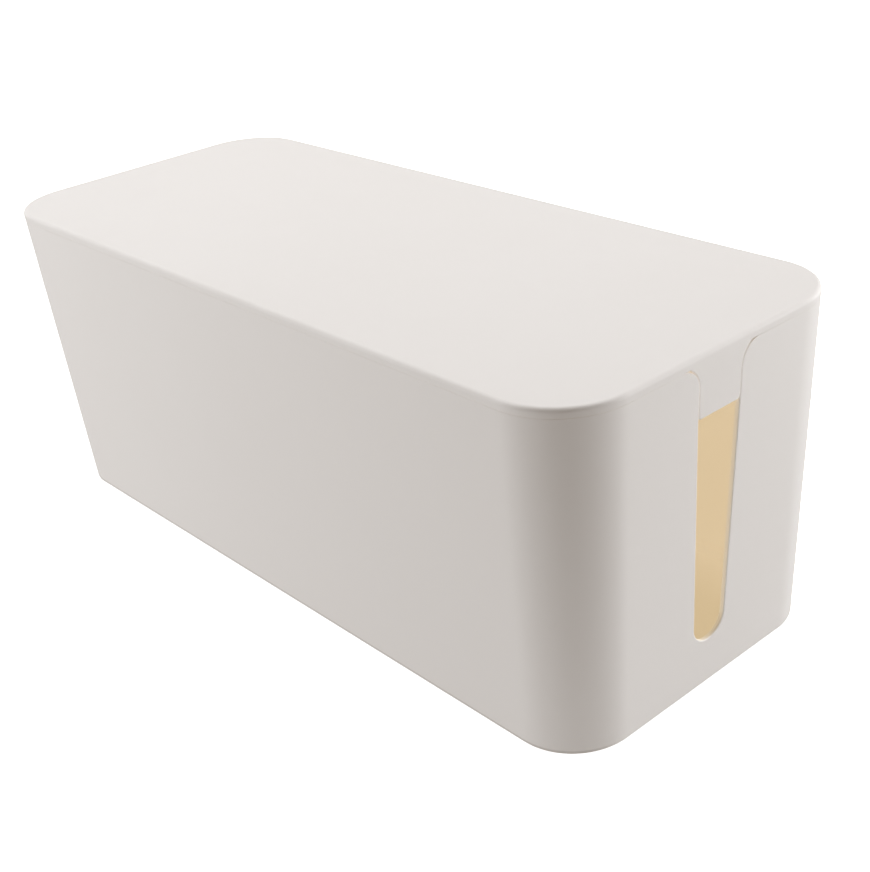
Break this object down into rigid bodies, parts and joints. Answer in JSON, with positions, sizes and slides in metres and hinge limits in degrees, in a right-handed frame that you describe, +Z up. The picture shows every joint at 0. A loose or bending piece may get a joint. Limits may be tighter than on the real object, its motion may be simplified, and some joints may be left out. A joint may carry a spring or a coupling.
{
  "type": "cable management box",
  "caption": "Long drafted plastic box with rounded corners, a cable slot in each end and a lift-off lid whose tongues close the tops of the slots.",
  "frame": {"origin": "under the middle of the box, on the surface that the feet stand on", "axes": "+X along the box towards one slotted end, +Y across it towards the back long side, +Z up through the lid"},
  "size_m": [0.3998, 0.1614, 0.1525],
  "materials": {
    "body_plastic": "fine satin moulded off-white",
    "lid_plastic": "fine satin moulded off-white",
    "foot_rubber": "soft matte grey"
  },
  "bodies": {
    "tub": {"box_body": "body_plastic", "foot_front_left": "foot_rubber", "foot_front_right": "foot_rubber", "foot_back_left": "foot_rubber", "foot_back_right": "foot_rubber"},
    "lid": {"lid": "lid_plastic"}
  },
  "joints": [
    {"name": "lid_lift", "type": "slide", "parent": "tub", "child": "lid", "axis": [0, 0, 1], "range_m": [0, 0.08]}
  ]
}
